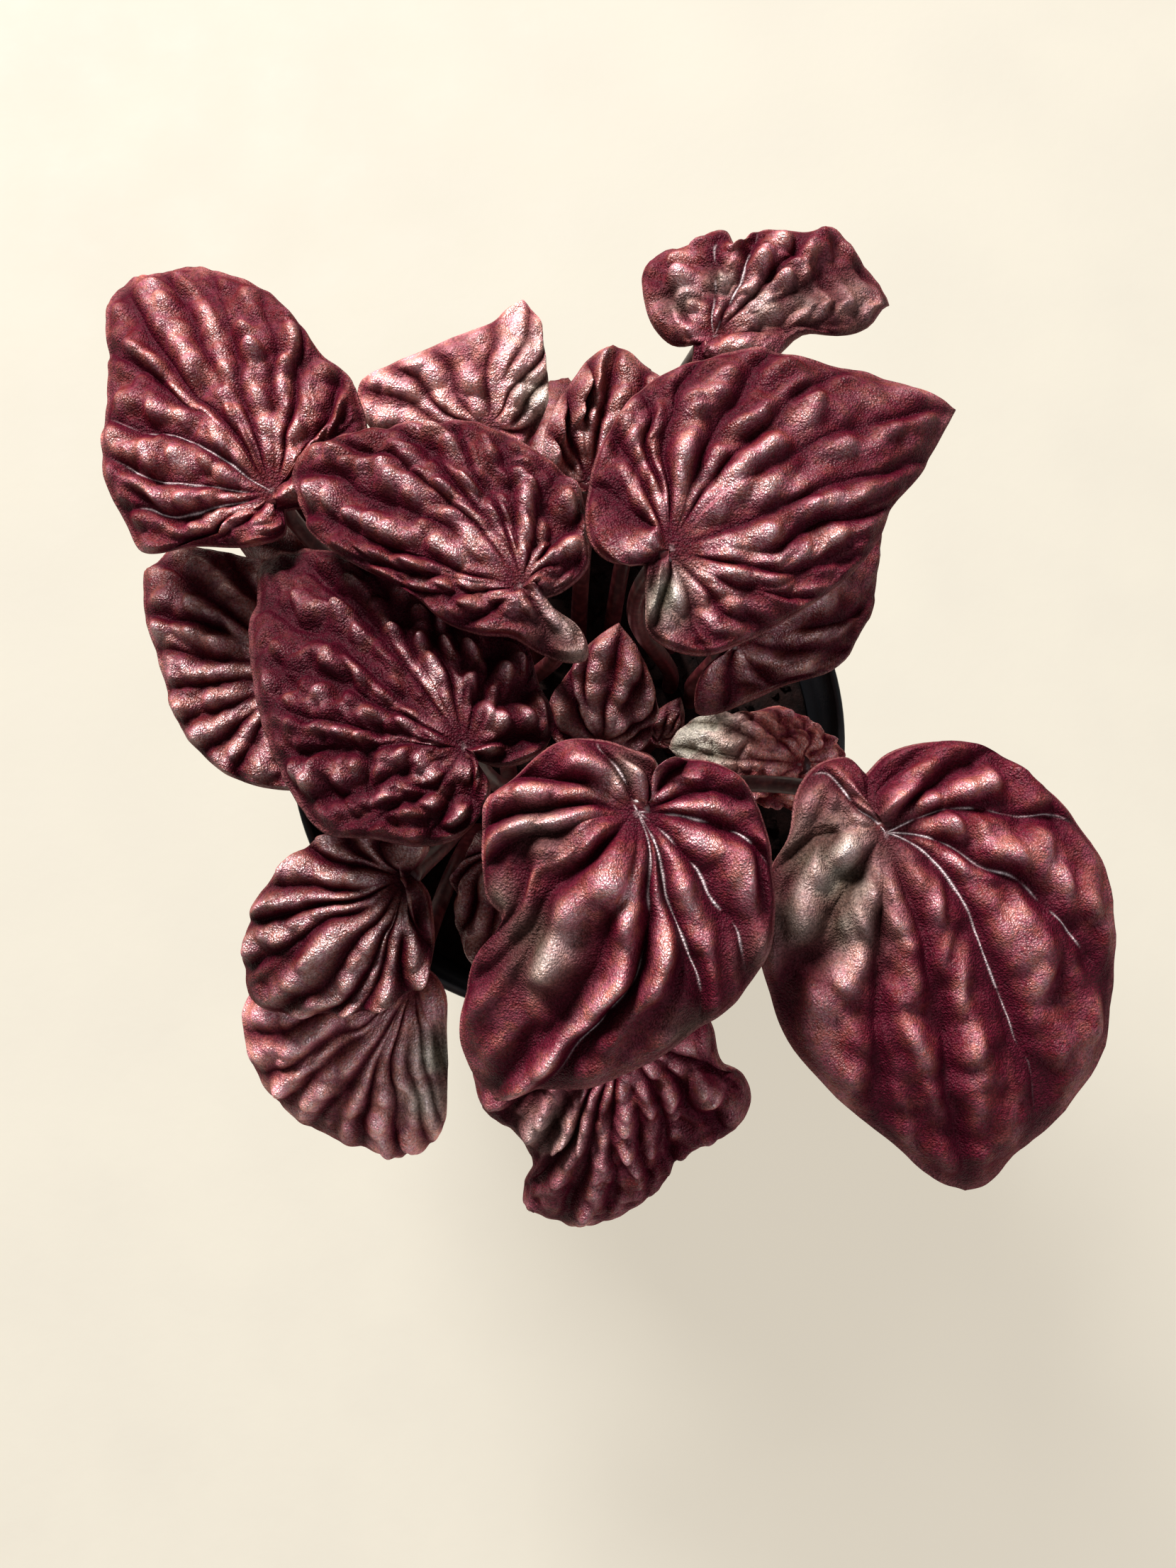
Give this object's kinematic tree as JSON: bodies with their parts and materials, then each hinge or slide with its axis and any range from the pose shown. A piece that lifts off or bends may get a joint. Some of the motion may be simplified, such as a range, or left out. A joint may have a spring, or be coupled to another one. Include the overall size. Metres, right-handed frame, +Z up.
{
  "type": "potted peperomia plant",
  "caption": "Compact houseplant with crinkled, wine-red, heart-shaped leaves on upright stalks, growing in a tapered black plastic nursery pot.",
  "frame": {"origin": "middle of the pot's flat underside", "axes": "+Z up along the pot's axis; the camera of the picture looks down from above with +Y towards the top of the picture"},
  "size_m": [0.164, 0.1651, 0.1715],
  "materials": {
    "leaf": "satin",
    "pot": "satin",
    "soil": "matte"
  },
  "bodies": {
    "root": {"pot": "pot", "soil": "soil", "leaf_front": "leaf", "leaf_upper_right": "leaf", "leaf_centre_left": "leaf", "leaf_left": "leaf", "leaf_lower_right": "leaf", "leaf_upper_left": "leaf", "leaf_lower_left": "leaf", "leaf_right_silvery": "leaf", "leaf_top_twisted": "leaf", "leaf_top_left": "leaf", "leaf_top_folded": "leaf", "leaf_left_behind": "leaf", "leaf_upper_right_under": "leaf", "leaf_front_under": "leaf", "leaf_lower_left_under": "leaf", "leaf_centre_young": "leaf", "leaf_bud": "leaf", "leaf_lower_left_inner": "leaf", "leaf_low_right": "leaf", "leaf_low_front": "leaf", "leaf_low_left": "leaf", "leaf_low_upper_left": "leaf", "leaf_low_back": "leaf", "leaf_low_upper_right": "leaf"}
  },
  "joints": []
}
